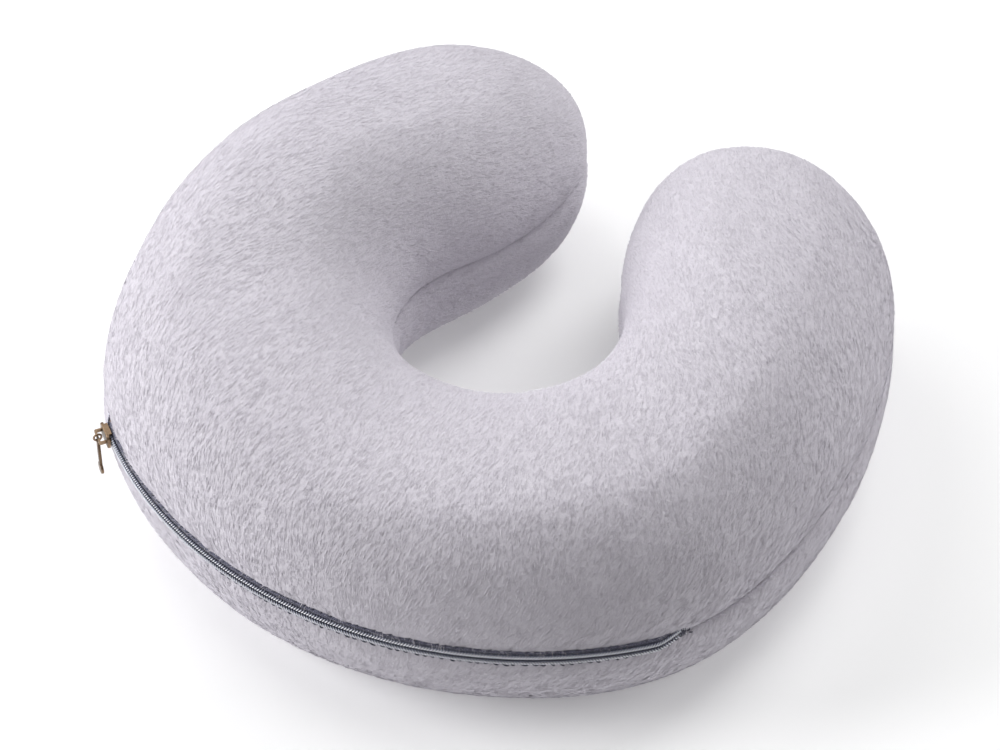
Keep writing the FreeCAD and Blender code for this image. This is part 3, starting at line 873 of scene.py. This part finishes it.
def build_foam():
    """The moulded foam, a little smaller than its cover, with the press of the zip in its back."""
    mesh = frame["nodes"]["foam_core"].data.copy()
    piece = new_object("foam_insert", mesh, FOAM)
    remesh = piece.modifiers.new("remesh", "REMESH")
    remesh.mode = "VOXEL"
    remesh.voxel_size = VOXEL
    mesh = evaluated_mesh(piece)
    piece.modifiers.clear()
    mesh.materials.clear()
    mesh.materials.append(FOAM)
    points = coordinates(mesh) - vertex_normals(mesh) * 2.2 * MM
    points = neighbour_mean(mesh, points, np.ones(len(points), bool), 3)
    set_coordinates(mesh, points)
    mesh.polygons.foreach_set("use_smooth", [True] * len(mesh.polygons))
    piece.data = mesh
    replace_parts(piece, "foam_core")
    return piece


def surface_finder(skin):
    tree = BVHTree.FromPolygons(coordinates(skin).tolist(), [tuple(p.vertices) for p in skin.polygons])

    def find(point, share):
        place, normal, _, _ = tree.find_nearest(Vector(point))
        sink = EDGE_SINK * share + 1.9 * MM * (1 - share)
        return np.array(place - normal * (sink - 0.35 * MM)), np.array(normal)

    return find


def build_zip(skin):
    find = surface_finder(skin)
    for end, side in (("upper", 1), ("lower", -1)):
        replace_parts(tape("zip_tape_" + end + "_woven", side), "zip_tape_" + end)
        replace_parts(coil_row("zip_coil_" + end + "_loops", side), "zip_coil_" + end)
        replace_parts(filler_cord("zip_cord_" + end, side), "zip_coil_thread_" + end)
        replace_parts(stitches("zip_stitch_" + end + "_bites", side, find, 30 + side), "zip_stitch_" + end)
    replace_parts(tacks("zip_tack_left_thread", CHAIN_START + 0.004), "zip_tack_left")
    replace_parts(tacks("zip_tack_right_thread", CHAIN_END - 0.004), "zip_tack_right")
    for node in ("slider_body", "pull_tab"):
        mesh = frame["nodes"][node].data
        mesh.materials.clear()
        mesh.materials.append(BRASS)


# ---------------------------------------------------------------- camera, floor and lights

CAMERA_AZIMUTH = math.radians(27.73)
CAMERA_ELEVATION = math.radians(46.49)
CAMERA_DISTANCE = 1.403
CAMERA_LENS = 126.7
CAMERA_ROLL = math.radians(0.29)


def place_camera():
    data = bpy.data.cameras.new("camera")
    data.lens = CAMERA_LENS
    data.sensor_width = 36
    data.clip_start = 0.01
    camera = bpy.data.objects.new("camera", data)
    bpy.context.scene.collection.objects.link(camera)
    flat = math.cos(CAMERA_ELEVATION)
    back = Vector((math.sin(CAMERA_AZIMUTH) * flat, -math.cos(CAMERA_AZIMUTH) * flat,
                   math.sin(CAMERA_ELEVATION)))
    right = Vector((math.cos(CAMERA_AZIMUTH), math.sin(CAMERA_AZIMUTH), 0))
    up = back.cross(right)
    target = Vector((0, 3.45 * MM, 39.2 * MM)) - up * 1.24 * MM
    turn = Matrix((right, up, back)).transposed().to_4x4() @ Matrix.Rotation(CAMERA_ROLL, 4, "Z")
    camera.matrix_world = Matrix.Translation(target + back * CAMERA_DISTANCE) @ turn
    bpy.context.scene.camera = camera


# Each softbox: its turn round the object from the camera's right, its elevation and its power.
SOFTBOXES = {
    "key_low_left": (180, 25, 28.5),
    "key_back_left": (135, 50, 9.0),
    "back_right": (45, 50, 14.0),
    "front_left": (225, 50, 2.5),
    "right": (0, 32, 8.5),
    "top": (0, 85, 4.0),
}
SOFTBOX_DISTANCE = 1.8
SOFTBOX_SIZE = 1.1


def softbox(name, turn, elevation, power):
    data = bpy.data.lights.new(name, "AREA")
    data.shape = "DISK"
    data.size = SOFTBOX_SIZE
    data.energy = power
    light = bpy.data.objects.new(name, data)
    bpy.context.scene.collection.objects.link(light)
    turn = CAMERA_AZIMUTH + math.radians(turn)
    flat = math.cos(math.radians(elevation))
    away = Vector((math.cos(turn) * flat, math.sin(turn) * flat, math.sin(math.radians(elevation))))
    light.location = away * SOFTBOX_DISTANCE
    light.rotation_euler = (Vector((0, 0, 0.04)) - light.location).to_track_quat("-Z", "Y").to_euler()


def build_stage():
    floor = mesh_from("floor", [(-4, -4, 0), (4, -4, 0), (4, 4, 0), (-4, 4, 0)], [(0, 1, 2, 3)], False)
    stage = bpy.data.objects.new("floor", floor)
    bpy.context.scene.collection.objects.link(stage)
    floor.materials.append(floor_material())
    world = bpy.data.worlds.new("world")
    world.use_nodes = True
    background = world.node_tree.nodes["Background"]
    background.inputs["Color"].default_value = (1.0, 1.0, 1.0, 1.0)
    background.inputs["Strength"].default_value = 0.03
    bpy.context.scene.world = world
    for name, (turn, elevation, power) in SOFTBOXES.items():
        softbox(name, turn, elevation, power)
    bpy.context.scene.view_settings.view_transform = "Standard"


skin_mesh = build_cover()
build_foam()
build_zip(skin_mesh)
build_stage()
place_camera()
